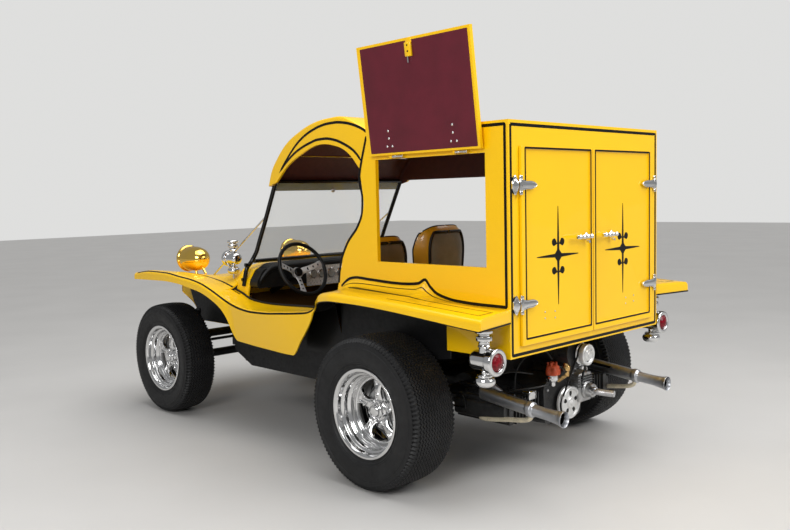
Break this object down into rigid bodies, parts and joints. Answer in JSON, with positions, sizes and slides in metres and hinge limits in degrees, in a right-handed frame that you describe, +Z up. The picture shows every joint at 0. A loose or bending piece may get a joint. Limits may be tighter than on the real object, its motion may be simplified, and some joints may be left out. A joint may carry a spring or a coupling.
{
  "type": "dune buggy",
  "caption": "Open-wheeled buggy with a C-shaped cab opening, a cargo box with a serving hatch and rear doors, carriage lamps and an open rear engine.",
  "frame": {"origin": "on the ground under the middle of the whole buggy", "axes": "+X forward, +Y to the left, +Z up"},
  "size_m": [3.2347, 1.7712, 2.0248],
  "materials": {
    "body_paint": "gloss",
    "black_steel": "satin",
    "trim_chrome": "polished",
    "tyre_rubber": "matte",
    "drum_iron": "cast",
    "lining": "matte",
    "black_frame": "gloss",
    "tinted_glass": "clear",
    "dash_panel": "satin",
    "wheel_rim": "satin",
    "seat_shell": "gloss",
    "seat_cover": "matte",
    "engine_metal": "cast"
  },
  "bodies": {
    "body": {"body_side_left": "body_paint", "body_side_right": "body_paint", "front_wing_left": "body_paint", "front_wing_right": "body_paint", "cowl": "body_paint", "nose": "body_paint", "rear_wings": "body_paint", "canopy": "body_paint", "box_side_left": "body_paint", "box_side_right": "body_paint", "box_shell": "body_paint", "floor_pan": "black_steel", "frame": "black_steel", "inner_body": "black_steel", "front_beam": "black_steel", "rear_axle": "black_steel", "hinge_plates": "trim_chrome", "exhaust": "trim_chrome", "tail_lamps": "trim_chrome", "front_lamps": "trim_chrome", "pulleys": "trim_chrome", "brace_rods": "trim_chrome", "steering_column": "trim_chrome", "header_board": "lining", "windscreen_frame": "black_frame", "windscreen_glass": "tinted_glass", "dash": "dash_panel", "seat_shell_left": "seat_shell", "seat_shell_right": "seat_shell", "seat_pad_left": "seat_cover", "seat_pad_right": "seat_cover", "engine": "engine_metal"},
    "wheel_front_left": {"tyre_front_left": "tyre_rubber", "rim_front_left": "trim_chrome", "drum_front_left": "drum_iron"},
    "wheel_front_right": {"tyre_front_right": "tyre_rubber", "rim_front_right": "trim_chrome", "drum_front_right": "drum_iron"},
    "wheel_rear_left": {"tyre_rear_left": "tyre_rubber", "rim_rear_left": "trim_chrome", "drum_rear_left": "drum_iron"},
    "wheel_rear_right": {"tyre_rear_right": "tyre_rubber", "rim_rear_right": "trim_chrome", "drum_rear_right": "drum_iron"},
    "steer_left": {"knuckle_left": "black_steel"},
    "steer_right": {"knuckle_right": "black_steel"},
    "track_rod": {"track_rod": "black_steel"},
    "steering_wheel": {"steering_wheel": "wheel_rim"},
    "door_left": {"door_left": "body_paint", "door_fittings_left": "trim_chrome"},
    "door_right": {"door_right": "body_paint", "door_fittings_right": "trim_chrome"},
    "hatch": {"hatch": "body_paint", "hatch_lining": "lining"}
  },
  "joints": [
    {"name": "steer_left", "type": "hinge", "parent": "body", "child": "steer_left", "pos_m": [1.2174, 0.5, 0.344], "axis": [0, 0, 1], "range_deg": [-28, 28]},
    {"name": "steer_right", "type": "hinge", "parent": "body", "child": "steer_right", "pos_m": [1.2174, -0.5, 0.344], "axis": [0, 0, 1], "range_deg": [-28, 28]},
    {"name": "wheel_front_left", "type": "hinge", "parent": "steer_left", "child": "wheel_front_left", "pos_m": [1.2174, 0.655, 0.344], "axis": [0, 1, 0], "continuous": true},
    {"name": "wheel_front_right", "type": "hinge", "parent": "steer_right", "child": "wheel_front_right", "pos_m": [1.2174, -0.655, 0.344], "axis": [0, 1, 0], "continuous": true},
    {"name": "wheel_rear_left", "type": "hinge", "parent": "body", "child": "wheel_rear_left", "pos_m": [-0.8226, 0.754, 0.355], "axis": [0, 1, 0], "continuous": true},
    {"name": "wheel_rear_right", "type": "hinge", "parent": "body", "child": "wheel_rear_right", "pos_m": [-0.8226, -0.754, 0.355], "axis": [0, 1, 0], "continuous": true},
    {"name": "track_rod", "type": "hinge", "parent": "steer_left", "child": "track_rod", "pos_m": [1.0974, 0.5, 0.435], "axis": [0, 0, 1], "range_deg": [-28, 28]},
    {"name": "steering_wheel", "type": "hinge", "parent": "body", "child": "steering_wheel", "pos_m": [0.2774, 0.323, 0.924], "axis": [-0.8988, 0, 0.4384], "range_deg": [-392, 392]},
    {"name": "door_left", "type": "hinge", "parent": "body", "child": "door_left", "pos_m": [-1.4821, 0.552, 0.868], "axis": [0, 0, -1], "range_deg": [0, 120]},
    {"name": "door_right", "type": "hinge", "parent": "body", "child": "door_right", "pos_m": [-1.4821, -0.552, 0.868], "axis": [0, 0, 1], "range_deg": [0, 120]},
    {"name": "hatch", "type": "hinge", "parent": "body", "child": "hatch", "pos_m": [-1.0041, 0.624, 1.517], "axis": [1, 0, 0], "range_deg": [-173, 0]}
  ],
  "couplings": [
    {"joint": "steer_right", "follows": "steer_left", "ratio": 1},
    {"joint": "track_rod", "follows": "steer_left", "ratio": -1},
    {"joint": "steering_wheel", "follows": "steer_left", "ratio": 14}
  ]
}
